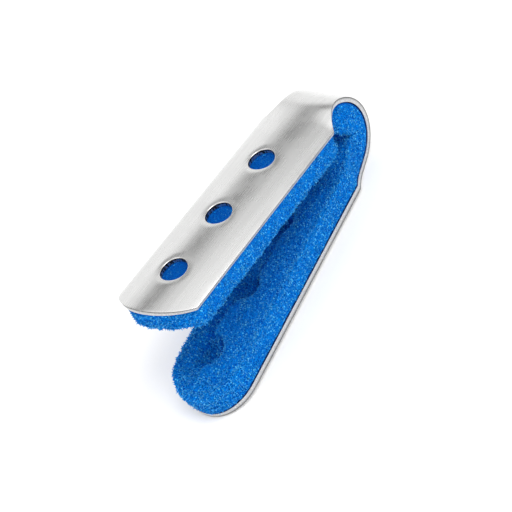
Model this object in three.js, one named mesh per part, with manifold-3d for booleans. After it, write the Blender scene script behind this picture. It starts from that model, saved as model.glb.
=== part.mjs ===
// A folded finger splint: one strip of perforated aluminium, bent double round a
// narrow neck, with a strip of open-cell foam bonded to its inside.
// Millimetres, +Z up. The splint lies on the outside of its lower leg.
// The origin is under the middle of its outline, on the surface that it lies on.
import * as THREE from 'three';
import { mergeVertices } from 'three/addons/utils/BufferGeometryUtils.js';
import Module from 'manifold-3d';

const wasm = await Module();
wasm.setup();

// The sheet and its two legs. Lengths run from the fold, where its bend begins, to the tip.
const SHEET = 1.1;
const UPPER_LENGTH = 60.2;
const UPPER_WIDTH = 19.5;
const LOWER_LENGTH = 63.2;
const LOWER_WIDTH = 18;

// Each leg is pressed into a shallow channel. This is how far its rims stand off its crest.
const UPPER_CHANNEL = 2.3;
const LOWER_CHANNEL = 1.2;

// The fold is a round bend of the outer face, and the legs open by this angle.
const FOLD_RADIUS = 10.5;
const OPENING_ANGLE = THREE.MathUtils.degToRad(12.5);

// The neck: its width, how far past the bend its notch begins on each leg, the length
// of its sloping shoulders, and how far the channel runs on before the neck is flat.
const NECK_WIDTH = 12.2;
const UPPER_NOTCH_START = 3.7;
const LOWER_NOTCH_START = 4.5;
const UPPER_SHOULDER = 5.2;
const LOWER_SHOULDER = 5.5;
const UPPER_CHANNEL_FADE = 9;
const LOWER_CHANNEL_FADE = 8;

// The upper leg's end is a blunt arc. Its highest point lies a little off the middle,
// and the corner on that side is rounded.
const UPPER_END_RISE = 6;
const UPPER_END_SHIFT = 1.2;
const UPPER_END_CORNER = 2.6;

// Three holes in each leg, on its centre line.
const HOLE_DIAMETER = 6;
const HOLE_COUNT = 3;
const FIRST_HOLE = 16.6;
const HOLE_PITCH = 16;

// The foam: its thickness on each leg, the radius of the hollow that it leaves inside
// the fold, how far from the bend it has thickened, and the glue line behind it.
const UPPER_FOAM = 4.3;
const LOWER_FOAM = 5.6;
const FOLD_HOLLOW_RADIUS = 2.6;
const FOAM_THICKENING = 9;
const GLUE_LINE = 0.3;

// The finger's groove down the lower foam, and the dents over the lower leg's holes.
const GROOVE_DEPTH = 0.7;
const GROOVE_HALF_WIDTH = 4.5;
const DENT_DEPTH = 2.6;
const DENT_RADIUS = 3.6;
const DENT_SHIFT = 1.2;

// How finely the curves are drawn.
const SHEET_COLUMNS = 9;
const FOAM_COLUMNS = 15;
const FOLD_STEPS = 20;
const ROUND_STEPS = 8;
const HOLE_SIDES = 32;
const FOAM_STEP = 1.45;

// Distances along the strip are counted from the lower end of the bend: the lower leg
// is negative, then comes the bend, then the upper leg.
const BEND_ANGLE = Math.PI - OPENING_ANGLE;
const BEND_LENGTH = FOLD_RADIUS * BEND_ANGLE;
const UPPER_NOTCH = BEND_LENGTH + UPPER_NOTCH_START;
const LOWER_NOTCH = -LOWER_NOTCH_START;
const UPPER_TIP = BEND_LENGTH + UPPER_LENGTH;

const BED = SHEET + GLUE_LINE;
const FOLD_FOAM = FOLD_RADIUS - BED - FOLD_HOLLOW_RADIUS;

const { clamp, lerp, smoothstep } = THREE.MathUtils;

// The outer face's centre line in the XZ plane, with its direction and its outward normal.
function centreLine(along) {
  const turned = clamp(along, 0, BEND_LENGTH) / FOLD_RADIUS;
  const lead = Math.min(along, 0);
  const tail = Math.max(along - BEND_LENGTH, 0);
  const direction = new THREE.Vector3(Math.cos(turned), 0, Math.sin(turned));
  const point = new THREE.Vector3(
    FOLD_RADIUS * Math.sin(turned) + lead,
    0,
    FOLD_RADIUS * (1 - Math.cos(turned)),
  ).addScaledVector(direction, tail);
  const outward = new THREE.Vector3(direction.z, 0, -direction.x);
  return { point, outward };
}

// The channel's curvature across a leg, from its width and the depth of its channel.
function curvatureOf(width, depth) {
  return (2 * depth) / ((width / 2) ** 2 + depth ** 2);
}

// The channel fades to nothing inside the neck.
function channelCurvature(along) {
  const upper = curvatureOf(UPPER_WIDTH, UPPER_CHANNEL);
  const lower = curvatureOf(LOWER_WIDTH, LOWER_CHANNEL);
  return upper * smoothstep(along, UPPER_NOTCH - UPPER_CHANNEL_FADE, UPPER_NOTCH)
    + lower * (1 - smoothstep(along, LOWER_NOTCH, LOWER_NOTCH + LOWER_CHANNEL_FADE));
}

// A point of the channel's section: how far across, and how far in from the crest, for a
// place on the outer face and a depth under it. The middle facet is level with the crest.
function channelPoint(curvature, across, depth) {
  if (curvature < 1e-6) {
    return { across, inward: depth };
  }
  const radius = 1 / curvature;
  const angle = Math.asin(clamp(across * curvature, -1, 1));
  const facet = LOWER_WIDTH / SHEET_COLUMNS / 2;
  const crest = radius - Math.sqrt(radius ** 2 - facet ** 2);
  const inward = radius - (radius - depth) * Math.cos(angle) - crest;
  return { across: (radius - depth) * Math.sin(angle), inward: Math.max(inward, depth) };
}

// The half width where the notch slopes down to the neck.
function notchedHalfWidth(along, width, notch, shoulder) {
  const share = clamp(Math.abs(along - notch) / shoulder, 0, 1);
  return lerp(width / 2, NECK_WIDTH / 2, share);
}

// The upper end's arc passes through the square corner and through the shifted high point.
function upperEndArc() {
  const chord = UPPER_WIDTH / 2 + UPPER_END_SHIFT;
  const radius = (chord ** 2 + UPPER_END_RISE ** 2) / (2 * UPPER_END_RISE);
  return { radius, centre: UPPER_TIP - radius };
}

// The rounded corner sits inside both the straight edge and the end's arc.
function upperEndCorner(arc) {
  const acrossCentre = UPPER_WIDTH / 2 - UPPER_END_CORNER;
  const reach = arc.radius - UPPER_END_CORNER;
  const offset = acrossCentre - UPPER_END_SHIFT;
  const alongCentre = arc.centre + Math.sqrt(reach ** 2 - offset ** 2);
  return { acrossCentre, alongCentre };
}

// The strip's outline: how far it reaches to the near side (-Y) and to the far side (+Y).
function outline(along) {
  const middle = BEND_LENGTH / 2;
  if (along <= middle) {
    const half = notchedHalfWidth(Math.max(along, LOWER_NOTCH), LOWER_WIDTH, LOWER_NOTCH, LOWER_SHOULDER);
    const past = LOWER_WIDTH / 2 - LOWER_LENGTH - along;
    const round = past > 0 ? Math.sqrt(Math.max((LOWER_WIDTH / 2) ** 2 - past ** 2, 0)) : half;
    return { near: round, far: round };
  }
  const half = notchedHalfWidth(Math.min(along, UPPER_NOTCH), UPPER_WIDTH, UPPER_NOTCH, UPPER_SHOULDER);
  const arc = upperEndArc();
  const corner = upperEndCorner(arc);
  const reach = along - arc.centre;
  const swing = reach > 0 ? Math.sqrt(Math.max(arc.radius ** 2 - reach ** 2, 0)) : arc.radius;
  const near = Math.min(half, swing - UPPER_END_SHIFT);
  let far = Math.min(half, swing + UPPER_END_SHIFT);
  const leaves = lerp(arc.centre, corner.alongCentre, arc.radius / (arc.radius - UPPER_END_CORNER));
  if (along > corner.alongCentre && along < leaves) {
    const step = along - corner.alongCentre;
    far = corner.acrossCentre + Math.sqrt(UPPER_END_CORNER ** 2 - step ** 2);
  }
  return { near, far };
}

// Places along the strip where a ring of the solid is drawn.
function evenly(from, to, count) {
  return Array.from({ length: count }, (unused, step) => lerp(from, to, step / count));
}

function roundEnd(centre, radius, direction) {
  return Array.from({ length: ROUND_STEPS }, (unused, step) => {
    const angle = (Math.PI / 2) * ((step + 1) / (ROUND_STEPS + 0.5));
    return centre + direction * radius * Math.sin(angle);
  });
}

function stationsBetween(from, to, step) {
  return evenly(from, to, Math.max(1, Math.ceil((to - from) / step)));
}

function stripStations(step) {
  const arc = upperEndArc();
  const endStart = UPPER_TIP - UPPER_END_RISE;
  const lowerRound = LOWER_WIDTH / 2 - LOWER_LENGTH;
  const upperRound = Array.from({ length: ROUND_STEPS }, (unused, count) => {
    const share = (count + 1) / (ROUND_STEPS + 0.5);
    const from = Math.asin((endStart - arc.centre) / arc.radius);
    return arc.centre + arc.radius * Math.sin(lerp(from, Math.PI / 2, share));
  });
  return [
    ...roundEnd(lowerRound, LOWER_WIDTH / 2, -1).reverse(),
    ...stationsBetween(lowerRound, LOWER_NOTCH, step),
    ...evenly(LOWER_NOTCH, 0, 3),
    ...evenly(0, BEND_LENGTH, FOLD_STEPS),
    ...evenly(BEND_LENGTH, UPPER_NOTCH, 3),
    ...stationsBetween(UPPER_NOTCH, endStart, step),
    endStart,
    ...upperRound,
  ];
}

// A closed solid from rings of equally many points, one ring for each place along it.
function solidFromRings(rings) {
  const size = rings[0].length;
  const corners = rings.flat().flatMap((point) => point.toArray());
  const triangles = [];
  for (let ring = 0; ring < rings.length - 1; ring += 1) {
    for (let place = 0; place < size; place += 1) {
      const next = (place + 1) % size;
      const here = ring * size;
      const there = here + size;
      triangles.push(here + place, here + next, there + next);
      triangles.push(here + place, there + next, there + place);
    }
  }
  // Each end face is a row of quads between its two long sides.
  const last = (rings.length - 1) * size;
  for (let place = 0; place < size / 2 - 1; place += 1) {
    const across = size - 1 - place;
    triangles.push(place, across, across - 1, place, across - 1, place + 1);
    triangles.push(last + place, last + across - 1, last + across);
    triangles.push(last + place, last + place + 1, last + across - 1);
  }
  const geometry = new THREE.BufferGeometry();
  geometry.setAttribute('position', new THREE.Float32BufferAttribute(corners, 3));
  geometry.setIndex(triangles);
  return geometry;
}

// A ring runs over the outer side from near to far, and back over the inner side.
function ringAt(along, columns, sectionPoint) {
  const { near, far } = outline(along);
  const { point, outward } = centreLine(along);
  const place = (across, side) => {
    const section = sectionPoint(along, across, side);
    return new THREE.Vector3(0, section.across, 0).add(point).addScaledVector(outward, -section.inward);
  };
  const places = Array.from({ length: columns + 1 }, (unused, column) => lerp(-near, far, column / columns));
  return [
    ...places.map((across) => place(across, 'outer')),
    ...places.map((across) => place(across, 'inner')).reverse(),
  ];
}

function sheetSection(along, across, side) {
  return channelPoint(channelCurvature(along), across, side === 'outer' ? 0 : SHEET);
}

// The foam thickens towards the fold, where it is bent inwards.
function foamThickness(along) {
  const lower = smoothstep(along, LOWER_NOTCH - FOAM_THICKENING, 0);
  const upper = smoothstep(along, BEND_LENGTH, UPPER_NOTCH + FOAM_THICKENING);
  const rising = lerp(LOWER_FOAM, FOLD_FOAM, lower);
  return lerp(rising, UPPER_FOAM, upper);
}

function dentDepth(along, across) {
  let depth = 0;
  for (let hole = 0; hole < HOLE_COUNT; hole += 1) {
    const centre = -(FIRST_HOLE + hole * HOLE_PITCH);
    const distance = Math.hypot(along - centre, across - DENT_SHIFT) / DENT_RADIUS;
    depth += DENT_DEPTH * (1 - smoothstep(distance, 0, 1));
  }
  return depth;
}

function grooveDepth(along, across) {
  const first = LOWER_NOTCH;
  const last = LOWER_WIDTH / 2 - LOWER_LENGTH;
  const fade = smoothstep(along, last, last + GROOVE_HALF_WIDTH) * (1 - smoothstep(along, first, 0));
  return GROOVE_DEPTH * fade * (1 - smoothstep(Math.abs(across - DENT_SHIFT), 0, GROOVE_HALF_WIDTH));
}

function foamSection(along, across, side) {
  const bed = channelPoint(channelCurvature(along), across, BED);
  if (side === 'outer') {
    return bed;
  }
  const hollow = grooveDepth(along, bed.across) + dentDepth(along, bed.across);
  return { across: bed.across, inward: bed.inward + foamThickness(along) - hollow };
}

function toManifold(geometry) {
  const bare = geometry.clone();
  bare.deleteAttribute('normal');
  bare.deleteAttribute('uv');
  const merged = mergeVertices(bare, 1e-4);
  return new wasm.Manifold(new wasm.Mesh({
    numProp: 3,
    vertProperties: new Float32Array(merged.attributes.position.array),
    triVerts: new Uint32Array(merged.index.array),
  }));
}

function toGeometry(solid) {
  const mesh = solid.getMesh();
  const geometry = new THREE.BufferGeometry();
  geometry.setAttribute('position', new THREE.BufferAttribute(new Float32Array(mesh.vertProperties), 3));
  geometry.setIndex(new THREE.BufferAttribute(new Uint32Array(mesh.triVerts), 1));
  geometry.computeVertexNormals();
  return geometry;
}

// A punch stands square to its leg at the hole's place, and reaches past both faces.
function punchAt(along) {
  const { point, outward } = centreLine(along);
  const reach = 2 * (SHEET + UPPER_CHANNEL + LOWER_CHANNEL);
  const punch = new THREE.CylinderGeometry(HOLE_DIAMETER / 2, HOLE_DIAMETER / 2, reach, HOLE_SIDES);
  punch.applyQuaternion(new THREE.Quaternion().setFromUnitVectors(new THREE.Vector3(0, 1, 0), outward));
  punch.translate(point.x, point.y, point.z);
  return toManifold(punch);
}

function aluminiumStrip() {
  const rings = stripStations(LOWER_LENGTH).map((along) => ringAt(along, SHEET_COLUMNS, sheetSection));
  let strip = toManifold(solidFromRings(rings));
  for (let hole = 0; hole < HOLE_COUNT; hole += 1) {
    const distance = FIRST_HOLE + hole * HOLE_PITCH;
    strip = strip.subtract(punchAt(-distance));
    strip = strip.subtract(punchAt(BEND_LENGTH + distance));
  }
  const aluminium = new THREE.MeshStandardMaterial({ color: 0xd3d3d1, roughness: 0.32, metalness: 1 });
  const mesh = new THREE.Mesh(toGeometry(strip), aluminium);
  mesh.name = 'aluminium_strip';
  return mesh;
}

function foamLining() {
  const rings = stripStations(FOAM_STEP).map((along) => ringAt(along, FOAM_COLUMNS, foamSection));
  const geometry = solidFromRings(rings);
  geometry.computeVertexNormals();
  const foam = new THREE.MeshStandardMaterial({ color: 0x0a6fc8, roughness: 0.95, metalness: 0 });
  const mesh = new THREE.Mesh(geometry, foam);
  mesh.name = 'foam_lining';
  return mesh;
}

const splint = new THREE.Group();
splint.add(aluminiumStrip(), foamLining());
splint.position.x = (LOWER_LENGTH - FOLD_RADIUS) / 2;

export default splint;
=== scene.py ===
# %% [markdown]
# # A folded finger splint
#
# The real object is a strip of soft aluminium, bent double round a narrow neck, with a
# strip of blue open-cell foam glued to its inside. A CAD program has already made both as
# plain solids. In this lesson each of them gets a finished piece of its own, in the same
# place, and the whole is lit as for a catalogue.

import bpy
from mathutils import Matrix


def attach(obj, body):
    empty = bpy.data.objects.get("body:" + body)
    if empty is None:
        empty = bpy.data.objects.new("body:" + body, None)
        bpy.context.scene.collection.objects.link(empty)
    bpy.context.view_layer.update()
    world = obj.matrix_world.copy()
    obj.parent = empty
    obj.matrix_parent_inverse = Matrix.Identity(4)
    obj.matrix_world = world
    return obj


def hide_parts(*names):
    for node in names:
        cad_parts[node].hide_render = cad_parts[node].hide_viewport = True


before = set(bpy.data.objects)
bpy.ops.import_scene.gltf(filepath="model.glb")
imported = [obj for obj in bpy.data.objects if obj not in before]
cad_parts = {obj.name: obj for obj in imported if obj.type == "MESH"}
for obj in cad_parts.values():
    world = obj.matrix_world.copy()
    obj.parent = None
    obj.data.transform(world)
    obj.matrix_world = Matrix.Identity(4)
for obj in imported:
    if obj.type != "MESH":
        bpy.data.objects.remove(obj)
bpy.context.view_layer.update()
print("solids:", sorted(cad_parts))

# %% Bring in Blender's tools
import math

import bmesh
import bpy
import numpy as np
from mathutils import Matrix, Quaternion, Vector, noise

# %% [markdown]
# ## The strip as a flat blank
#
# The maker cuts and punches the sheet while it is flat, and bends it afterwards. We do the
# same, because holes, edges and streaks are easy to make on a flat sheet and hard to make
# on a bent one. A place on the blank has three numbers in millimetres: how far along the
# strip it is, how far across, and how deep under the outer face. Along is zero where the
# bend starts, negative on the lower leg, and it grows round the bend and up the upper leg.

# %% Measures of the blank, in millimetres
SHEET = 1.1
UPPER_LENGTH, UPPER_WIDTH, UPPER_CHANNEL = 60.2, 19.5, 2.3
LOWER_LENGTH, LOWER_WIDTH, LOWER_CHANNEL = 63.2, 18.0, 1.2
FOLD_RADIUS = 10.5
OPENING_ANGLE = math.radians(12.5)
NECK_WIDTH = 12.2
SHOULDER = 8.2
UPPER_NOTCH_START, UPPER_CHANNEL_FADE = 3.7, 9.0
LOWER_NOTCH_START, LOWER_CHANNEL_FADE = 4.5, 8.0
UPPER_END_RISE, UPPER_END_SHIFT, UPPER_END_CORNER = 6.0, 1.2, 2.6
HOLE_RADIUS, FIRST_HOLE, HOLE_PITCH, HOLE_COUNT = 3.0, 16.6, 16.0, 3

BEND_ANGLE = math.pi - OPENING_ANGLE
BEND_LENGTH = FOLD_RADIUS * BEND_ANGLE
UPPER_NOTCH = BEND_LENGTH + UPPER_NOTCH_START
LOWER_NOTCH = -LOWER_NOTCH_START
UPPER_TIP = BEND_LENGTH + UPPER_LENGTH
HOLES = [-FIRST_HOLE - HOLE_PITCH * count for count in range(HOLE_COUNT)]
HOLES += [BEND_LENGTH + FIRST_HOLE + HOLE_PITCH * count for count in range(HOLE_COUNT)]
print("the bend takes", round(BEND_LENGTH, 2), "mm of the strip; holes at", np.round(HOLES, 1))

# %% [markdown]
# ## From the blank to the folded shape
#
# Two bends turn the blank into the splint. Across, each leg is pressed into a shallow
# channel, an arc of a large circle. Along, the neck is rolled round a small circle. The
# function `fold` does both for whole arrays of places, which is much faster than asking
# for one vertex at a time. `unfold` goes back, for pieces that are shaped after bending.

# %% The channel across a leg
NEARLY_FLAT = 1e-6


def smoothstep(value, low, high):
    share = np.clip((value - low) / (high - low), 0, 1)
    return share * share * (3 - 2 * share)


def curvature_of(width, depth):
    return 2 * depth / ((width / 2) ** 2 + depth ** 2)


def channel_curvature(along):
    upper = smoothstep(along, UPPER_NOTCH - UPPER_CHANNEL_FADE, UPPER_NOTCH)
    lower = 1 - smoothstep(along, LOWER_NOTCH, LOWER_NOTCH + LOWER_CHANNEL_FADE)
    return np.maximum(
        curvature_of(UPPER_WIDTH, UPPER_CHANNEL) * upper
        + curvature_of(LOWER_WIDTH, LOWER_CHANNEL) * lower,
        NEARLY_FLAT,
    )


radii = [round(1 / float(channel_curvature(place)), 1) for place in (-30, 60)]
print("channel radii in mm, lower and upper:", radii)

# %% Fold and unfold
ROW_SHIFT = (LOWER_LENGTH - FOLD_RADIUS) / 2
MM = 0.001


def fold(along, across, depth, lift=0.0):
    """Places on the blank, in millimetres, to points on the splint, in metres."""
    radius = 1 / channel_curvature(along)
    angle = np.arcsin(np.clip(across / radius, -1, 1))
    inward = radius - (radius - depth) * np.cos(angle) + lift
    turned = np.clip(along, 0, BEND_LENGTH) / FOLD_RADIUS
    before, beyond = np.minimum(along, 0), np.maximum(along - BEND_LENGTH, 0)
    x = (FOLD_RADIUS - inward) * np.sin(turned) + before + beyond * np.cos(turned)
    z = FOLD_RADIUS - (FOLD_RADIUS - inward) * np.cos(turned) + beyond * np.sin(turned)
    return np.stack([x + ROW_SHIFT, (radius - depth) * np.sin(angle), z], axis=-1) * MM


def unfold(points):
    """Points on the splint back to along, across and the distance in from the crest."""
    x, y, z = (points / MM).T
    x, z = x - ROW_SHIFT, z - FOLD_RADIUS
    turned = np.arctan2(x, -z)
    turned = np.where(turned < BEND_ANGLE / 2 - math.pi, turned + 2 * math.pi, turned)
    held = np.clip(turned, 0, BEND_ANGLE)
    straight = x * np.cos(held) + z * np.sin(held)
    inward = FOLD_RADIUS - (x * np.sin(held) - z * np.cos(held))
    return held * FOLD_RADIUS + straight, y, inward


test = np.array([[-50.0, 3, 2], [10, -4, 5], [70, 0, 4]])
back = np.stack(unfold(fold(test[:, 0], test[:, 1], 0.0, test[:, 2])), axis=-1)
print("unfold gives back the place along to", np.abs(back[:, 0] - test[:, 0]).max().round(6), "mm")

# %% [markdown]
# ## The blank's outline
#
# The lower leg ends in a full round, and the upper leg in a blunt arc with one soft
# corner. A plain grid has four square corners, so its last rows are bent to follow each
# end. The cells then stay four-sided and even, and nothing pinches at the tip.

# %% Straight sides and the notched neck
def half_width(along):
    """Each shoulder starts with a corner and eases into the neck."""
    upper = np.clip((along - UPPER_NOTCH + SHOULDER) / SHOULDER, 0, 1) ** 2
    lower = np.clip((LOWER_NOTCH + SHOULDER - along) / SHOULDER, 0, 1) ** 2
    neck = NECK_WIDTH / 2
    return neck + (UPPER_WIDTH / 2 - neck) * upper + (LOWER_WIDTH / 2 - neck) * lower


print("widths of lower leg, neck and upper leg:", 2 * half_width(np.array([-30.0, 15.0, 60.0])))

# %% The round lower end
LOWER_END_START = LOWER_WIDTH / 2 - LOWER_LENGTH


def lower_end(share, side):
    """A half disc. share runs from its straight edge to the tip, side from -1 to 1."""
    radius = LOWER_WIDTH / 2
    along = LOWER_END_START - radius * share * np.sqrt(1 - side ** 2 / 2)
    across = radius * side * np.sqrt(1 - share ** 2 / 2)
    return along, across


print("the lower leg's tip lies at", lower_end(1.0, 0.0)[0], "mm")

# %% Places on a line and on an arc
def on_line(points, share):
    """The places at given shares of a line's length."""
    steps = np.hypot(*np.diff(points, axis=0).T)
    travelled = np.concatenate([[0], np.cumsum(steps)])
    wanted = share * travelled[-1]
    return np.stack([np.interp(wanted, travelled, points[:, axis]) for axis in (0, 1)], axis=-1)


def arc(centre, radius, start, stop, count=60):
    angles = np.linspace(start, stop, count)
    return np.stack([centre[0] + radius * np.cos(angles),
                     centre[1] + radius * np.sin(angles)], axis=-1)


print("half way along a corner:", on_line(np.array([[0.0, 0], [3, 0], [3, 3]]), np.array([0.5]))[0])

# %% The blunt upper end's edges
chord = UPPER_WIDTH / 2 + UPPER_END_SHIFT
end_radius = (chord ** 2 + UPPER_END_RISE ** 2) / (2 * UPPER_END_RISE)
end_centre = (UPPER_TIP - end_radius, UPPER_END_SHIFT)
corner_across = UPPER_WIDTH / 2 - UPPER_END_CORNER
corner_offset = corner_across - UPPER_END_SHIFT
corner_along = end_centre[0] + math.sqrt((end_radius - UPPER_END_CORNER) ** 2 - corner_offset ** 2)
meets = math.atan2(corner_across - end_centre[1], corner_along - end_centre[0])
middle_of_corner = (meets + math.pi / 2) / 2
HOLE_BLOCK = 4.0
UPPER_END_START = HOLES[-1] + HOLE_BLOCK

square_corner = (UPPER_TIP - UPPER_END_RISE, -UPPER_WIDTH / 2)
first = math.atan2(square_corner[1] - end_centre[1], square_corner[0] - end_centre[0])
corner = (corner_along, corner_across)
END_EDGE = np.vstack([
    arc(end_centre, end_radius, first, meets),
    arc(corner, UPPER_END_CORNER, meets, middle_of_corner)[1:],
])
FAR_EDGE = np.vstack([
    [[UPPER_END_START, UPPER_WIDTH / 2]],
    arc(corner, UPPER_END_CORNER, math.pi / 2, middle_of_corner),
])
print("the end arc has a radius of", round(end_radius, 1), "mm")

# %% The blunt upper end
def upper_end(share, side):
    """A patch between four edges. share runs to the tip, side from -1 to 1."""
    across_share = (side + 1) / 2
    base = np.stack([np.full_like(side, UPPER_END_START), side * UPPER_WIDTH / 2], axis=-1)
    tip = on_line(END_EDGE, across_share)
    near = np.stack([UPPER_END_START + (square_corner[0] - UPPER_END_START) * share,
                     np.full_like(share, square_corner[1])], axis=-1)
    far = on_line(FAR_EDGE, share)
    s, a = share[:, None], across_share[:, None]
    corners = ((1 - s) * (1 - a) * np.array([UPPER_END_START, -UPPER_WIDTH / 2])
               + (1 - s) * a * np.array([UPPER_END_START, UPPER_WIDTH / 2])
               + s * (1 - a) * END_EDGE[0] + s * a * END_EDGE[-1])
    return ((1 - s) * base + s * tip + (1 - a) * near + a * far - corners).T


reached = upper_end(np.array([1.0, 1.0]), np.array([-1.0, 1.0]))
print("its two corners lie at", reached.T.round(1).tolist())

# %% Rows of the grid, and the plan of the blank
def rows_between(marks, cell):
    rows = [marks[0]]
    for start, stop in zip(marks, marks[1:]):
        count = max(1, round((stop - start) / cell))
        rows += [start + (stop - start) * step / count for step in range(1, count + 1)]
    return np.array(rows)


LOWER_END_RUN, UPPER_END_RUN = 9.0, 6.5
MARKS = sorted(
    [LOWER_END_START, LOWER_NOTCH, UPPER_NOTCH]
    + [hole + side * HOLE_BLOCK for hole in HOLES for side in (-1, 1)]
)


def blank_grid(cell, columns):
    """A bmesh grid, laid out on the blank in millimetres."""
    rows = rows_between(MARKS, cell)
    lower_rows, upper_rows = round(LOWER_END_RUN / cell), round(UPPER_END_RUN / cell)
    total = lower_rows + len(rows) - 1 + upper_rows
    grid = bmesh.new()
    bmesh.ops.create_grid(grid, x_segments=total, y_segments=columns, size=1)
    places = np.array([vert.co for vert in grid.verts])
    row, side = (places[:, 0] + 1) / 2 * total, places[:, 1]
    along = np.interp(row, lower_rows + np.arange(len(rows)), rows)
    across = side * half_width(along)
    low = row < lower_rows - 0.5
    along[low], across[low] = lower_end(1 - row[low] / lower_rows, side[low])
    high = row > total - upper_rows + 0.5
    to_tip = (row[high] - (total - upper_rows)) / upper_rows
    along[high], across[high] = upper_end(to_tip, side[high])
    for vert, *place in zip(grid.verts, along, across):
        vert.co = (*place, 0)
    return grid


print("rows of the grid have to lie at", np.round(MARKS, 1))

# %% [markdown]
# ## The aluminium strip
#
# On the real splint this is one piece of sheet, sheared to its outline, with six punched
# holes. A boolean would cut the holes quickly but leave long thin triangles, which show as
# dark creases in satin metal. So we take out a block of cells round each hole, put a
# circle there, and bridge the two loops. The faces round the hole then stay small and even.

# %% Lay out the sheet
CELL = 0.5
COLUMNS = 38
sheet = blank_grid(CELL, COLUMNS)
print("flat sheet:", len(sheet.verts), "vertices,", len(sheet.faces), "faces")

# %% Punch the holes
# Two loops in one plane confuse the bridge, so the circle starts a little above the sheet.
# The block that comes out is 8.5 of the 19 columns wide to each side of the middle.
HOLE_SIDES, SPOKE_CUTS = 64, 3
BLOCK_COLUMNS = 8.5
LIFT = 0.5


def punch(bm, hole):
    """Take out a block of faces round a hole's centre, and bridge its rim to a circle."""
    reach = BLOCK_COLUMNS / (COLUMNS / 2) * float(half_width(hole))
    middles = [(face, face.calc_center_median()) for face in bm.faces]
    block = [face for face, middle in middles
             if abs(middle.x - hole) < HOLE_BLOCK and abs(middle.y) < reach]
    inside = set(block)
    rim = [edge for edge in bm.edges
           if 0 < sum(face in inside for face in edge.link_faces) < len(edge.link_faces)]
    bmesh.ops.delete(bm, geom=block, context="FACES")
    ring = bmesh.ops.create_circle(bm, segments=HOLE_SIDES, radius=HOLE_RADIUS,
                                   matrix=Matrix.Translation((hole, 0, LIFT)))
    on_circle = set(ring["verts"])
    circle = [edge for edge in bm.edges if edge.verts[0] in on_circle]
    bridge = bmesh.ops.bridge_loops(bm, edges=rim + circle)
    spokes = [edge for edge in bridge["edges"] if edge not in set(rim + circle)]
    bmesh.ops.subdivide_edges(bm, edges=spokes, cuts=SPOKE_CUTS, use_grid_fill=True)
    return len(rim), len(circle), len(spokes)


for hole in HOLES:
    counts = punch(sheet, hole)
bmesh.ops.scale(sheet, vec=(1, 1, 0), verts=sheet.verts)
print("each hole bridges", counts[0], "edges to", counts[1], "with", counts[2], "spokes")

# %% Give the sheet its thickness
bmesh.ops.recalc_face_normals(sheet, faces=sheet.faces)
top = bmesh.ops.extrude_face_region(sheet, geom=sheet.faces[:])
raised = [item for item in top["geom"] if isinstance(item, bmesh.types.BMVert)]
bmesh.ops.translate(sheet, verts=raised, vec=(0, 0, SHEET))
bmesh.ops.recalc_face_normals(sheet, faces=sheet.faces)
open_edges = sum(edge.is_boundary for edge in sheet.edges)
print("thick sheet:", len(sheet.faces), "faces; open edges:", open_edges)

# %% [markdown]
# A sheared edge is never quite sharp: the blade drags the skin of the sheet down before
# it cuts, and a hole's rim is rounded the same way. So the outline gets a bevel of a
# quarter of the sheet's thickness, and the outer rim of each hole a slightly smaller one,
# which catches the light as a bright ring. Four segments keep both round up close.

# %% Round the sheared edges
EDGE_ROUND, HOLE_ROUND, ROUND_SEGMENTS = 0.28, 0.2, 4
SHARP_STEP, RIM_MARGIN = 0.5, 0.2


def rim_edges(bm):
    bm.normal_update()
    return [edge for edge in bm.edges
            if len(edge.link_faces) == 2
            and abs(edge.link_faces[0].normal.z - edge.link_faces[1].normal.z) > SHARP_STEP]


def from_nearest_hole(place):
    return min(math.hypot(place.x - hole, place.y) for hole in HOLES)


def at_hole(edge):
    middle = (edge.verts[0].co + edge.verts[1].co) / 2
    return from_nearest_hole(middle) < HOLE_RADIUS + RIM_MARGIN


def round_off(bm, edges, width):
    bmesh.ops.bevel(bm, geom=edges, offset=width, offset_type="OFFSET", segments=ROUND_SEGMENTS,
                    profile=0.5, affect="EDGES", clamp_overlap=True, material=-1)


sharp = rim_edges(sheet)
outer_rims = {edge for edge in sharp if at_hole(edge) and edge.verts[0].co.z < SHEET / 2}
round_off(sheet, [edge for edge in sharp if edge not in outer_rims], EDGE_ROUND)
round_off(sheet, [edge for edge in rim_edges(sheet)
                  if at_hole(edge) and edge.verts[0].co.z < 1e-6], HOLE_ROUND)
print("rounded sheet:", len(sheet.faces), "faces")

# %% Mark the sheared faces and keep the blank's places
# On the outline the rounding counts as sheared, but round a hole it keeps the rolled skin.
SHEARED, TORN = 1, 2
STEEPEST_ROUND, STEEP_WALL, WALL_MARGIN = 0.9, 0.3, 0.4
sheet.normal_update()
for face in sheet.faces:
    in_hole = from_nearest_hole(face.calc_center_median()) < HOLE_RADIUS + WALL_MARGIN
    if abs(face.normal.z) < (STEEP_WALL if in_hole else STEEPEST_ROUND):
        face.material_index = TORN if in_hole else SHEARED
    face.smooth = True
blank_layer = sheet.verts.layers.float_vector.new("blank")
for vert in sheet.verts:
    vert[blank_layer] = vert.co
marked = [sum(face.material_index == kind for face in sheet.faces) for kind in (SHEARED, TORN)]
print("sheared and torn faces:", marked)

# %% [markdown]
# Now the press and the bending jig. Before it folds, the sheet sinks a little round each
# hole, as a punch pulls it, and the torn lower part of each hole's wall gets small teeth.

# %% Press and fold the sheet
PUNCH_SINK, PUNCH_REACH = 0.13, 1.3
TOOTH, TEETH_PER_MM, TORN_BELOW = 0.05, 2.3, 0.35


def hole_distance(along, across):
    away = np.stack([np.hypot(along - hole, across) for hole in HOLES])
    return away.min(axis=0)


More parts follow.
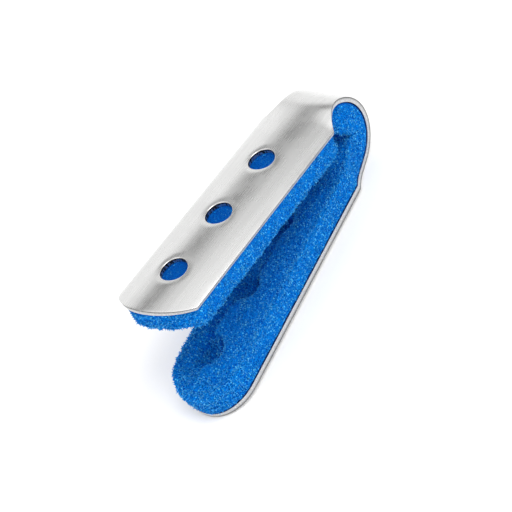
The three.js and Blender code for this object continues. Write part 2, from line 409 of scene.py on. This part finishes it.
flat = np.array([vert.co for vert in sheet.verts])
away = hole_distance(flat[:, 0], flat[:, 1])
torn = (away < HOLE_RADIUS + 0.02) & (flat[:, 2] > TORN_BELOW)
tooth = np.array([
    TOOTH * noise.noise(Vector((*place[:2] * TEETH_PER_MM, 0.4))) if cut else 0.0
    for place, cut in zip(flat, torn)])
nearest = np.array(HOLES)[np.abs(flat[:, :1] - np.array(HOLES)).argmin(axis=1)]
stretch = 1 + tooth / np.maximum(away, 1)
along = nearest + (flat[:, 0] - nearest) * stretch
across = flat[:, 1] * stretch
sink = PUNCH_SINK * (1 - smoothstep(away, HOLE_RADIUS, HOLE_RADIUS + PUNCH_REACH))
folded = fold(along, across, flat[:, 2] + sink)
for vert, point in zip(sheet.verts, folded):
    vert.co = point
print("sheet volume in mm3:", round(sheet.calc_volume(signed=True) / MM ** 3))

# %% Put the strip in the scene
def piece_from(bm, name):
    mesh = bpy.data.meshes.new(name)
    bm.to_mesh(mesh)
    bm.free()
    piece = bpy.data.objects.new(name, mesh)
    bpy.context.scene.collection.objects.link(piece)
    return piece


strip = piece_from(sheet, "folded_strip")
even = strip.modifiers.new("even shading", "WEIGHTED_NORMAL")
even.keep_sharp = True
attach(strip, "root")
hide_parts("aluminium_strip")
print("strip:", len(strip.data.polygons), "faces")

# %% [markdown]
# ## The foam lining
#
# The real lining is a slab of open-cell foam, cut to the metal's outline and glued in. It
# doesn't drape or swell, so a cloth simulation has nothing to do here. We build the slab
# from the same blank, give it the finger's groove and the three dents that lie over the
# lower leg's holes, and then remesh it: even, small faces can carry a crumbly surface.

# %% Measures of the foam, in millimetres
UPPER_FOAM, LOWER_FOAM = 4.5, 5.6
BED = SHEET + 0.15
# In degrees round the bend: where the crease lies, where the bend ends and which way the
# plug's flat face looks. Then how far from the bend's centre the foam stops: the flat face
# at its nearest, and the part under the crease at four turns.
CREASE, BEND_TURN, PLUG_TURN = 70.0, 168, 124.0
PLUG_DISTANCE = 2.65
UNDER_TURNS, UNDER_LEFT = [0, 20, 50, CREASE], [3.2, 3.0, 3.3, 4.4]


def foam_thickness(along):
    """Inside the bend the foam is squeezed into a plug with a flat face and a crease."""
    turned = np.degrees(along / FOLD_RADIUS)
    plug = PLUG_DISTANCE / np.cos(np.radians(np.clip(turned, CREASE, BEND_TURN) - PLUG_TURN))
    under = np.interp(turned, UNDER_TURNS, UNDER_LEFT)
    in_bend = FOLD_RADIUS - BED - np.where(turned < CREASE, under, plug)
    lower = LOWER_FOAM + (in_bend - LOWER_FOAM) * smoothstep(along, LOWER_NOTCH - 5, 0)
    lower = lower - np.clip(along - BEND_LENGTH, 0, UPPER_NOTCH_START)
    return lower + (UPPER_FOAM - lower) * smoothstep(along, UPPER_NOTCH - 0.3, UPPER_NOTCH + 1.2)


samples = foam_thickness(np.array([-60.0, -30, 22, 60, 85]))
print("foam on the lower leg, in the bend and on the upper leg:", samples.round(1))

# %% [markdown]
# A finger that rests in the splint leaves its mark. The far half of the lower leg's foam is
# a shallow basin with a steep bank on its near side. Three round dents lie over the holes,
# where the foam has nothing under it. All of this is a depth for each place on the blank,
# which `smoothstep` fades in and out between two places, with no corner at either.

# %% Where the basin and the dents lie
BASIN_DEPTH, BASIN_START, BASIN_STOP = 2.1, (-60, -54), (-10, -3)
BANK_ALONG, BANK_ACROSS = [-51, -47, -41, -35, -12], [1.6, 3.4, 3.0, 0.2, -0.4]
BANK_TOP, BANK_FOOT = 0.5, 0.8
FAR_RISE, FAR_BANK = 0.75, (4, 9)
DENT_DEPTH, DENT_RADIUS, DENT_ACROSS, DENT_STRETCH = 2.2, 4.1, 2.5, 0.95
STEEP_RIM, GENTLE_RIM, RIM_CHANGE = (0.7, 1.0), (0.1, 1.2), 1.5
DENT_SHIFT, DENT_SPREAD = -1.9, 1.015
DENTS = [hole * DENT_SPREAD + DENT_SHIFT for hole in HOLES[:HOLE_COUNT]]
print("dents at", np.round(DENTS, 1), "mm along the strip")

# %% The hollow that a finger has pressed
def bank(along):
    """Where across the lower leg the basin's near side lies."""
    return np.interp(along, BANK_ALONG, BANK_ACROSS)


def hollow(along, across):
    """The far half of the lower foam lies lower. A steep, scalloped bank bounds it."""
    ends = smoothstep(along, *BASIN_START) * (1 - smoothstep(along, *BASIN_STOP))
    rise = 1 - FAR_RISE * smoothstep(across, *FAR_BANK)
    side = bank(along)
    depth = BASIN_DEPTH * ends * smoothstep(across, side - BANK_TOP, side + BANK_FOOT) * rise
    for dent in DENTS:
        distance = np.hypot((along - dent) * DENT_STRETCH, across - DENT_ACROSS) / DENT_RADIUS
        steep = 1 - smoothstep(distance, *STEEP_RIM)
        gentle = 1 - smoothstep(distance, *GENTLE_RIM)
        near = 1 - smoothstep(across, DENT_ACROSS - RIM_CHANGE, DENT_ACROSS + RIM_CHANGE)
        depth = depth + DENT_DEPTH * (gentle + (steep - gentle) * near)
    return depth


print("depth of the dents in mm:", hollow(np.array(DENTS), np.full(3, DENT_ACROSS)).round(1))

# %% Where shade is painted on the foam
BANK_SHADE, SHADE_IN, SHADE_OUT = 0.6, (-0.2, 0.9), (1.2, 4.0)
SHADE_START, SHADE_STOP = (-57, -52), (-12, -5)
DENT_NEAR, DENT_FAR, DENT_EDGE = 1.2, 2.2, (0.84, 0.96)


def from_dent(along, across, dent):
    """How far a place lies from a dent's middle: 1 is the dent's rim."""
    return np.hypot(along - dent, across - DENT_ACROSS) / DENT_RADIUS


def painted_shade(along, across):
    """How much shade is painted on the foam, from 0 to 1: at the bank's foot and in the dents."""
    beyond = across - bank(along)
    darkening = BANK_SHADE * smoothstep(beyond, *SHADE_IN) * (1 - smoothstep(beyond, *SHADE_OUT))
    darkening = darkening * smoothstep(along, *SHADE_START) * (1 - smoothstep(along, *SHADE_STOP))
    near = 1 - smoothstep(across, DENT_ACROSS - DENT_NEAR, DENT_ACROSS + DENT_FAR)
    for dent in DENTS:
        in_dent = 1 - smoothstep(from_dent(along, across, dent), *DENT_EDGE)
        darkening = np.maximum(darkening, near * in_dent)
    return darkening


print("pressed at the bank's foot:", painted_shade(np.array([-30.0]), np.array([1.5])).round(2)[0])

# %% Build the slab
# It is a little narrower than the metal. Its upper tip is cut back, and it is pinched where
# the upper leg leaves the bend.
SLAB_CELL, SLAB_COLUMNS, SLAB_SHARE = 0.7, 26, 0.985
PINCH, TIP_CUT, TIP_BACK = 0.2, 0.9, 0.4
slab = blank_grid(SLAB_CELL, SLAB_COLUMNS)
top = bmesh.ops.extrude_face_region(slab, geom=slab.faces[:])
raised = [item for item in top["geom"] if isinstance(item, bmesh.types.BMVert)]
bmesh.ops.translate(slab, verts=raised, vec=(0, 0, 1))
bmesh.ops.recalc_face_normals(slab, faces=slab.faces)
flat = np.array([vert.co for vert in slab.verts])
at_end = smoothstep(flat[:, 0], UPPER_TIP - 13, UPPER_TIP - 4)
flat[:, 1] *= SLAB_SHARE
pinched = smoothstep(flat[:, 0], BEND_LENGTH - 6, BEND_LENGTH - 1)
pinched = pinched * (1 - smoothstep(flat[:, 0], UPPER_NOTCH - 0.4, UPPER_NOTCH + 0.6))
flat[:, 1] *= 1 - PINCH * pinched
flat[:, 1] -= TIP_CUT * at_end * smoothstep(flat[:, 1], 3, 8)
flat[:, 0] -= TIP_BACK * at_end
bed_across = fold(flat[:, 0], flat[:, 1], BED)[:, 1] / MM
height = foam_thickness(flat[:, 0]) - hollow(flat[:, 0], bed_across)
for vert, point in zip(slab.verts, fold(flat[:, 0], flat[:, 1], BED, height * flat[:, 2])):
    vert.co = point
print("foam volume in mm3:", round(slab.calc_volume(signed=True) / MM ** 3))

# %% Remesh it into small even faces
FOAM_CELL = 0.29 * MM
lining = piece_from(slab, "foam_padding")
remesh = lining.modifiers.new("small even faces", "REMESH")
remesh.mode = "VOXEL"
remesh.voxel_size = FOAM_CELL
remesh.use_smooth_shade = True
fine = bpy.data.meshes.new_from_object(lining.evaluated_get(bpy.context.evaluated_depsgraph_get()))
lining.modifiers.clear()
lining.data = fine
fine.name = "foam_padding"
print("foam:", len(fine.polygons), "faces")

# %% [markdown]
# Open-cell foam has no skin. A cut opens its cells, so the surface is a crust of broken cell walls.
# The moves below are what a sculptor's brush would do: a slow unevenness, and then small crumbs
# that follow a cell pattern. The glued side stays calm, so that no foam pokes through the metal,
# and sinks a little under the holes. Two attributes remember what the finish needs later: `cut` is
# 1 where the foam lies open, and the other is 1 where shade is painted on the foam, at the foot of
# the bank and in the dents.

# %% Sculpt the foam's surface
SLOW_HEIGHT, SLOW_SIZE = 0.16, 5.0
CRUMB_HEIGHT, CRUMB_SIZE, CRUMB_MIDDLE = 0.17, 0.85, 0.45
HOLE_SINK, GLUE_LINE = 0.3, (0.15, 0.7)


def read_points(mesh, field="vertices", name="co"):
    values = np.empty(len(getattr(mesh, field)) * 3, np.float32)
    getattr(mesh, field).foreach_get(name, values)
    return values.reshape(-1, 3).astype(float)


def keep_values(mesh, name, values):
    """Keep one number for each vertex, for a finish to read."""
    layer = mesh.attributes.new(name, "FLOAT", "POINT")
    layer.data.foreach_set("value", values.ravel().astype(np.float32))


points = read_points(fine)
normals = read_points(fine, "vertex_normals", "vector")
along, across, inward = unfold(points)
bed_inward = unfold(fold(along, across, BED))[2]
exposed = smoothstep(inward - bed_inward, *GLUE_LINE)
slow = np.array([noise.noise(Vector(point) / (SLOW_SIZE * MM)) for point in points])
crumb = np.array([noise.voronoi(Vector(point) / (CRUMB_SIZE * MM))[0][0] for point in points])
moved = exposed * (SLOW_HEIGHT * slow + CRUMB_HEIGHT * (CRUMB_MIDDLE - crumb))
under_hole = 1 - smoothstep(hole_distance(along, across), HOLE_RADIUS - 0.6, HOLE_RADIUS + 0.2)
sink = HOLE_SINK * under_hole * (1 - exposed)
points += normals * ((moved - sink) * MM)[:, None]
fine.vertices.foreach_set("co", points.astype(np.float32).ravel())
fine.update()
keep_values(fine, "cut", exposed)
# The second attribute says where shade is painted on the foam: the bank's foot and the dents.
keep_values(fine, "painted_shade", exposed * painted_shade(along, across))
print("crumbs move the surface by up to", np.abs(moved).max().round(2), "mm")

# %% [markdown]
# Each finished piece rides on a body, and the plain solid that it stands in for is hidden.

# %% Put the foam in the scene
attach(lining, "root")
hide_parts("foam_lining")
print("the padding measures", (np.ptp(points, axis=0) / MM).round(1), "mm")

# %% [markdown]
# ## Broken cell struts
#
# Four thin struts meet at every corner of a foam cell. Where the blade has cut them, their stumps
# stand up and catch the light, and they make the lining's edges look fuzzy. One strut corner has
# four short legs. We make it once from a tetrahedron by pulling out each of its faces, and scatter
# small turned copies over the foam. Each copy remembers in the attribute `rise` how far its points
# stand up, because the raised tips are painted paler, as light that shines through them.

# %% One strut corner
CORNER_RADIUS, CORNER_HEIGHT, LEG_LENGTH, LEG_TAPER = 0.085, 0.12, 0.3, 0.6
corner_mesh = bmesh.new()
bmesh.ops.create_cone(corner_mesh, cap_ends=True, segments=3,
                      radius1=CORNER_RADIUS, radius2=0, depth=CORNER_HEIGHT)
legs = bmesh.ops.extrude_discrete_faces(corner_mesh, faces=corner_mesh.faces[:])
for face in legs["faces"]:
    face.normal_update()
    centre, direction = face.calc_center_median(), face.normal.copy()
    for vert in face.verts:
        vert.co = centre + (vert.co - centre) * LEG_TAPER + direction * LEG_LENGTH
bmesh.ops.recalc_face_normals(corner_mesh, faces=corner_mesh.faces)
corner_shape = bpy.data.meshes.new("strut_corner")
corner_mesh.to_mesh(corner_shape)
corner_mesh.free()
corner_points = read_points(corner_shape)
corner_faces = [list(face.vertices) for face in corner_shape.polygons]
corner_reach = np.abs(corner_points).max().round(2)
print("a strut corner has", len(corner_faces), "faces and reaches", corner_reach, "mm")

# %% Where struts may stand
# More of them stand along the slab's upper edges, at its ends and round the dents. A few
# show in the holes, flush with the glued side.
SEED = 7
EDGE_WISH, TIP_WISH, HOLE_WISH, CREST_WISH = 1.2, 0.8, 0.4, 1.6
LIP_DOWN, LIP_IN, TIP_DOWN = (0.3, 1.3), (0.9, 2.2), (0.3, 1.5)
CREST_IN, CREST_OUT, CREST_REACH = (0.95, 1.02), (1.08, 1.3), 1.2
FREE_ABOVE, GLUED_BELOW, HOLE_INSET = 0.5, 0.3, 0.35
dice = np.random.default_rng(SEED)
centres = read_points(fine, "polygons", "center")
directions = read_points(fine, "polygons", "normal")
along, across, inward = unfold(centres)
height = inward - unfold(fold(along, across, BED))[2]
free = height > FREE_ABOVE
in_hole = (height < GLUED_BELOW) & (hole_distance(along, across) < HOLE_RADIUS - HOLE_INSET)
to_top = np.abs(foam_thickness(along) - hollow(along, across) - height)
to_side = np.abs(half_width(along) - np.abs(across))
lip = (1 - smoothstep(to_top, *LIP_DOWN)) * (1 - smoothstep(to_side, *LIP_IN))
tip = smoothstep(along, UPPER_TIP - 7, UPPER_TIP - 4) + (1 - smoothstep(along, -60, -56))
wish = free * (1 + EDGE_WISH * lip + TIP_WISH * tip * (1 - smoothstep(to_top, *TIP_DOWN)))
wish = wish + HOLE_WISH * in_hole
for dent in DENTS:
    distance = from_dent(along, across, dent)
    crest = smoothstep(distance, *CREST_IN) * (1 - smoothstep(distance, *CREST_OUT))
    crest = crest * (across < DENT_ACROSS)
    wish += CREST_WISH * crest * free * (to_top < CREST_REACH)
fringe = np.maximum(lip, tip) * free
print("open faces:", int(free.sum()), "of", len(free))

# %% Scatter them
SMALLEST, LARGEST, HIGHEST, FRINGE_GROWTH = 0.8, 1.4, 0.2, 0.15


def scatter(name, count, wish):
    chosen = dice.choice(len(wish), count, replace=False, p=wish / wish.sum())
    turns = np.array([Quaternion(turn).normalized().to_matrix()
                      for turn in dice.normal(size=(count, 4))])
    longer = (1 + FRINGE_GROWTH * fringe[chosen])[:, None]
    sizes = dice.uniform(SMALLEST, LARGEST, count) * longer[:, 0] * MM
    lifts = directions[chosen] * dice.uniform(0.0, HIGHEST, (count, 1)) * longer * MM
    stands = centres[chosen] + lifts
    copies = np.einsum("nij,pj->npi", turns, corner_points) * sizes[:, None, None]
    copies = copies + stands[:, None, :]
    mesh = bpy.data.meshes.new(name)
    mesh.from_pydata(copies.reshape(-1, 3), [], [
        [vert + copy * len(corner_points) for vert in face]
        for copy in range(count) for face in corner_faces])
    rise = np.einsum("npi,ni->np", copies - centres[chosen][:, None, :], directions[chosen])
    keep_values(mesh, "rise", rise / MM)
    piece = bpy.data.objects.new(name, mesh)
    bpy.context.scene.collection.objects.link(piece)
    piece.parent = lining
    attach(piece, "root")
    print(name, "has", len(mesh.polygons), "faces")
    return piece


UPPER_COUNT, LOWER_COUNT = 5600, 6900
upper_half = along > BEND_LENGTH / 2
upper_struts = scatter("upper_broken_cells", UPPER_COUNT, wish * upper_half)
lower_struts = scatter("lower_broken_cells", LOWER_COUNT, wish * ~upper_half)

# %% [markdown]
# ## Materials
#
# Every finish is made of nodes, so that it stays sharp at any distance. These helpers add
# a node, set its options and fill its sockets, either with a value or with a link.

# %% Helpers for nodes
def set_sockets(tree, node, sockets):
    for name, value in sockets.items():
        if isinstance(value, bpy.types.NodeSocket):
            tree.links.new(value, node.inputs[name])
        else:
            node.inputs[name].default_value = value


def add(tree, kind, sockets=None, **options):
    node = tree.nodes.new(kind)
    for name, value in options.items():
        setattr(node, name, value)
    set_sockets(tree, node, sockets or {})
    return node


def new_finish(name):
    material = bpy.data.materials.new(name)
    material.use_nodes = True
    tree = material.node_tree
    tree.nodes.clear()
    shader = add(tree, "ShaderNodeBsdfPrincipled")
    add(tree, "ShaderNodeOutputMaterial", {"Surface": shader.outputs["BSDF"]})
    print("new finish:", name)
    return material, tree, shader


# %% Helpers for colours and numbers
def mix(tree, factor, first, second):
    return add(tree, "ShaderNodeMix", {0: factor, 6: first, 7: second}, data_type="RGBA").outputs[2]


def remap(tree, value, low, high, to_low=0.0, to_high=1.0):
    return add(tree, "ShaderNodeMapRange", {
        "Value": value, "From Min": low, "From Max": high, "To Min": to_low, "To Max": to_high,
    }).outputs["Result"]


def attribute(tree, name, kind="Fac"):
    return add(tree, "ShaderNodeAttribute", attribute_name=name).outputs[kind]


def grey(value):
    return (value, value, value, 1)


def ramp(tree, factor, stops):
    """A colour ramp through shades of grey, given as pairs of place and shade."""
    node = add(tree, "ShaderNodeValToRGB", {"Fac": factor})
    for place, _ in stops[2:]:
        node.color_ramp.elements.new(place)
    for element, (place, shade) in zip(node.color_ramp.elements, stops):
        element.position = place
        element.color = grey(shade)
    return node


print("as a colour, a middle grey is", grey(0.5))

# %% [markdown]
# ### Satin aluminium
#
# Rolled sheet has fine streaks that run along it, so its pattern must follow the strip
# round the bend. That is what the `blank` attribute is for: it kept each vertex's place on
# the flat sheet. Noise that is stretched along the blank gives the streaks, in a low bump
# and in the roughness, and a second, softer noise gives the handling marks.

# %% Rolled sheet
def streaks(tree, place, along_size, across_size, detail):
    """Noise that is drawn out along the strip, with its two sizes in millimetres."""
    stretched = add(tree, "ShaderNodeMapping", {
        "Vector": place, "Scale": (1 / along_size, 1 / across_size, 1 / across_size)})
    return add(tree, "ShaderNodeTexNoise", {
        "Vector": stretched.outputs["Vector"], "Scale": 1.0, "Detail": detail}).outputs["Fac"]


satin, tree, shader = new_finish("rolled_aluminium")
blank = attribute(tree, "blank", "Vector")
fine_streaks = streaks(tree, blank, along_size=14, across_size=0.16, detail=3)
broad_streaks = streaks(tree, blank, along_size=40, across_size=1.1, detail=2)
marks = streaks(tree, blank, along_size=5, across_size=4, detail=3)
bump = add(tree, "ShaderNodeBump", {"Height": fine_streaks, "Strength": 0.3, "Distance": 0.000012})
tone = mix(tree, remap(tree, broad_streaks, 0.3, 0.7),
           (0.66, 0.66, 0.655, 1), (0.71, 0.71, 0.705, 1))
rolled = remap(tree, fine_streaks, 0.3, 0.7, 0.24, 0.29)
handled = remap(tree, marks, 0.3, 0.7, -0.03, 0.05)
roughness = add(tree, "ShaderNodeMath", {0: rolled, 1: handled}, operation="ADD").outputs["Value"]
set_sockets(tree, shader, {"Base Color": tone, "Metallic": 1.0, "Roughness": roughness,
                           "Normal": bump.outputs["Normal"]})
strip.data.materials.append(satin)

# %% [markdown]
# A sheared edge looks different: the blade leaves fine marks that run through the sheet's
# thickness, rougher than the rolled skin. The rounded skin that it drags in is painted as a thin
# dark line of shade, and the cut below it is painted bright, partly its own brightness and partly a
# painted reflection. In a punched hole the metal is torn, dull and jagged.

# %% Sheared edges
def edge_nodes(tree, shader, size, bands, contrast, metallic):
    """Shades of grey by depth under the outer face, in bands, with tears of a given size."""
    blank = attribute(tree, "blank", "Vector")
    stretched = add(tree, "ShaderNodeMapping", {
        "Vector": blank, "Scale": (1 / size, 1 / size, 0.3 / size)})
    tears = add(tree, "ShaderNodeTexNoise", {
        "Vector": stretched.outputs["Vector"], "Scale": 1.0, "Detail": 4.0}).outputs["Fac"]
    depth = add(tree, "ShaderNodeSeparateXYZ", {"Vector": blank}).outputs["Z"]
    skin = ramp(tree, depth, bands).outputs["Color"]
    # Darker in random patches along the tears.
    torn_mottle = mix(tree, remap(tree, tears, 0.5 - contrast, 0.5 + contrast), grey(0.08), grey(1))
    tone = add(tree, "ShaderNodeMix", {0: 1.0, 6: skin, 7: torn_mottle},
               data_type="RGBA", blend_type="MULTIPLY").outputs[2]
    bump = add(tree, "ShaderNodeBump", {"Height": tears, "Strength": 0.5, "Distance": 0.00005})
    set_sockets(tree, shader, {
        "Base Color": tone, "Metallic": metallic, "Normal": bump.outputs["Normal"],
        "Roughness": remap(tree, tears, 0.3, 0.7, 0.5, 0.3)})


# Pairs of depth under the outer face, in millimetres, and the shade of grey there.
# On the sheared edge the dark band at the skin is painted shade, and the bright band below is
# partly a painted reflection.
SHEARED_BANDS = [(0.2, 0.24), (0.3, 0.66), (0.46, 0.76), (0.58, 0.95)]
TORN_BANDS = [(0.4, 0.12), (0.6, 0.62)]
sheared, tree, shader = new_finish("sheared_aluminium")
edge_nodes(tree, shader, size=0.15, bands=SHEARED_BANDS, contrast=0.6, metallic=0.35)
torn_metal, tree, shader = new_finish("torn_aluminium")
edge_nodes(tree, shader, size=0.4, bands=TORN_BANDS, contrast=0.06, metallic=1.0)
strip.data.materials.append(sheared)
strip.data.materials.append(torn_metal)
print("strip finishes:", [material.name for material in strip.data.materials])

# %% [markdown]
# ### Blue foam
#
# Up close, foam is a net of struts round pits. A Voronoi pattern in three dimensions gives such
# cells on every side of the slab at once. The distance to a cell's edge tells struts from pits, and
# the pits are painted darker, as the shade inside them. A second, sparser pattern paints pale
# highlights on the few struts that glint. A little light scatters inside the foam, which keeps its
# shadows blue instead of black. The attributes from the sculpting paint shade on the glued side,
# which shows in the holes, and at the foot of the bank and in the dents.

# %% Open cells
CELLS_PER_METRE, SPOTS_PER_METRE, CLOUDS_PER_METRE = 1900.0, 2000.0, 300.0
GLINT_SHARE, BED_SHADE_SHARE, PAINTED_SHADE_SHARE = 0.45, 0.8, 0.85


def foam_nodes(tree, shader, shaded_pit, strut, glint):
    """Nodes for foam in three blues. Returns the colour, and sets bump and roughness."""
    place = add(tree, "ShaderNodeTexCoord").outputs["Object"]
    edge = add(tree, "ShaderNodeTexVoronoi", {"Vector": place, "Scale": CELLS_PER_METRE},
               feature="DISTANCE_TO_EDGE").outputs["Distance"]
    spots = add(tree, "ShaderNodeTexVoronoi", {"Vector": place, "Scale": SPOTS_PER_METRE})
    cloud = add(tree, "ShaderNodeTexNoise", {
        "Vector": place, "Scale": CLOUDS_PER_METRE, "Detail": 3.0}).outputs["Fac"]
    # Painted shade: the pits between the struts get the darker pit colour.
    net = remap(tree, edge, 0.02, 0.26, 1.0, 0.0)
    ground = mix(tree, net, shaded_pit, strut)
    ground = mix(tree, remap(tree, cloud, 0.35, 0.75, 0.0, 0.4), ground, strut)
    # Painted highlights: a few struts get the pale glint colour and a lower roughness.
    luck = add(tree, "ShaderNodeSeparateColor", {"Color": spots.outputs["Color"]}).outputs["Red"]
    close = remap(tree, spots.outputs["Distance"], 0.20, 0.42, 1.0, 0.0)
    lucky = remap(tree, luck, 1 - GLINT_SHARE, 1.1 - GLINT_SHARE)
    shine = add(tree, "ShaderNodeMath", {0: lucky, 1: close}, operation="MULTIPLY").outputs["Value"]
    bump = add(tree, "ShaderNodeBump", {"Height": net, "Strength": 0.9, "Distance": 0.0002})
    set_sockets(tree, shader, {
        "Normal": bump.outputs["Normal"], "Roughness": remap(tree, shine, 0.0, 1.0, 0.8, 0.45)})
    return mix(tree, shine, ground, glint)


foam_blue, tree, shader = new_finish("open_cell_foam")
open_cells = foam_nodes(tree, shader, shaded_pit=(0.0, 0.075, 0.45, 1), strut=(0.0, 0.23, 0.78, 1),
                        glint=(0.12, 0.68, 1.0, 1))
# Painted shade: the glued side, which shows only at the bottom of the holes, is mixed towards a
# darker blue.
shaded_bed = mix(tree, BED_SHADE_SHARE, open_cells, (0.0, 0.07, 0.38, 1))
either = mix(tree, attribute(tree, "cut"), shaded_bed, open_cells)
# Painted shade: the foam turns a darker blue at the foot of the bank and in the dents.
shade_amount = remap(tree, attribute(tree, "painted_shade"), 0.0, 1.0, 0.0, PAINTED_SHADE_SHARE)
set_sockets(tree, shader, {
    "Base Color": mix(tree, shade_amount, either, (0.0, 0.055, 0.38, 1)),
    "Subsurface Weight": 0.15, "Subsurface Radius": (0.1, 0.5, 1.0), "Subsurface Scale": 0.0004,
    "Specular IOR Level": 0.04})
lining.data.materials.clear()
lining.data.materials.append(foam_blue)

# %% Strut stumps
TIP_FROM, TIP_TO, TIP_LIGHT_SHARE = 0.25, 0.6, 0.6
strut_blue, tree, shader = new_finish("foam_struts")
# Painted light: the stumps are a paler blue than the foam, as light shines through thin struts.
stumps = foam_nodes(tree, shader, shaded_pit=(0.0, 0.18, 0.68, 1), strut=(0.01, 0.34, 0.90, 1),
                    glint=(0.18, 0.72, 1.0, 1))
# Painted light: raised tips are mixed towards a paler blue still.
tip_light = remap(tree, attribute(tree, "rise"), TIP_FROM, TIP_TO, 0.0, TIP_LIGHT_SHARE)
stumps = mix(tree, tip_light, stumps, (0.20, 0.72, 1.0, 1))
set_sockets(tree, shader, {"Base Color": stumps, "Specular IOR Level": 0.06})
for piece in (upper_struts, lower_struts):
    piece.data.materials.append(strut_blue)

# %% [markdown]
# ## Floor, light and camera
#
# Satin metal shows what stands round it, so the surroundings matter more than the lamps.
# The world is white near the horizon and overhead, with a grey belt between them. The
# curved leg mirrors that belt as the soft dark band along its middle.

# %% A pale floor
FLOOR_RADIUS, GRAIN_PER_METRE = 3, 900.0
ground = bmesh.new()
bmesh.ops.create_circle(ground, cap_ends=True, segments=96, radius=FLOOR_RADIUS)
floor = piece_from(ground, "floor")
paper, tree, shader = new_finish("pale_paper")
place = add(tree, "ShaderNodeTexCoord").outputs["Object"]
grain = add(tree, "ShaderNodeTexNoise", {
    "Vector": place, "Scale": GRAIN_PER_METRE}).outputs["Fac"]
set_sockets(tree, shader, {
    "Base Color": mix(tree, grain, grey(0.96), grey(0.98)), "Roughness": 0.9})
floor.data.materials.append(paper)

# %% The surroundings
world = bpy.data.worlds.new("studio")
bpy.context.scene.world = world
world.use_nodes = True
tree = world.node_tree
tree.nodes.clear()
direction = add(tree, "ShaderNodeTexCoord").outputs["Generated"]
height = add(tree, "ShaderNodeSeparateXYZ", {"Vector": direction}).outputs["Z"]
# Pairs of height, as the sine of the angle above the horizon, and brightness.
SKY = [(0.0, 1.3), (0.34, 1.42), (0.515, 0.08), (0.63, 0.08), (0.76, 1.12), (1.0, 1.12)]
belt = ramp(tree, height, SKY)
belt.color_ramp.interpolation = "B_SPLINE"
sky = add(tree, "ShaderNodeBackground", {"Color": belt.outputs["Color"], "Strength": 1.2})
add(tree, "ShaderNodeOutputWorld", {"Surface": sky.outputs["Background"]})
print("the grey belt lies", [round(math.degrees(math.asin(place))) for place, _ in SKY[2:4]],
      "degrees above the horizon")

# %% Two softboxes
def softbox(name, direction, distance, size, power):
    lamp = bpy.data.lights.new(name, "AREA")
    lamp.shape = "DISK"
    lamp.size = size
    lamp.energy = power
    stand = bpy.data.objects.new(name, lamp)
    bpy.context.scene.collection.objects.link(stand)
    stand.location = Vector(direction).normalized() * distance
    stand.rotation_euler = (-stand.location).to_track_quat("-Z", "Y").to_euler()
    print(name, "light: size", size, "m,", power, "W")


softbox("key", (0.25, -0.55, 0.95), distance=0.8, size=0.5, power=3.0)
softbox("fill", (-0.9, 0.1, 0.5), distance=0.8, size=0.6, power=1.1)

# %% [markdown]
# The camera looks down on the splint from the near side, past its open end, and is rolled
# until the strip runs from corner to corner. Its angle, roll and distance were fitted to
# the photograph by the places of the holes, the rims and the bend, so they aren't round.

# %% The camera
FOCAL_LENGTH, SENSOR = 106.26, 36
AIM = Vector((-4.094, -1.281, 12.250)) * MM
AZIMUTH, ELEVATION, ROLL = (math.radians(angle) for angle in (-25.69, 46.81, -42.11))
DISTANCE = 316.84 * MM
level_reach = math.cos(ELEVATION)
towards = Vector((math.sin(AZIMUTH) * level_reach, -math.cos(AZIMUTH) * level_reach,
                  math.sin(ELEVATION)))
camera = bpy.data.objects.new("camera", bpy.data.cameras.new("camera"))
bpy.context.scene.collection.objects.link(camera)
camera.data.lens = FOCAL_LENGTH
camera.data.sensor_width = SENSOR
camera.location = AIM + towards * DISTANCE
level = (-towards).to_track_quat("-Z", "Y")
camera.rotation_euler = (level @ Quaternion((0, 0, 1), ROLL)).to_euler()
bpy.context.scene.camera = camera
bpy.context.scene.view_settings.view_transform = "Standard"
print("camera at", [round(value * 1000, 1) for value in camera.location], "mm; right is",
      [round(value, 3) for value in camera.rotation_euler.to_matrix().col[0]])
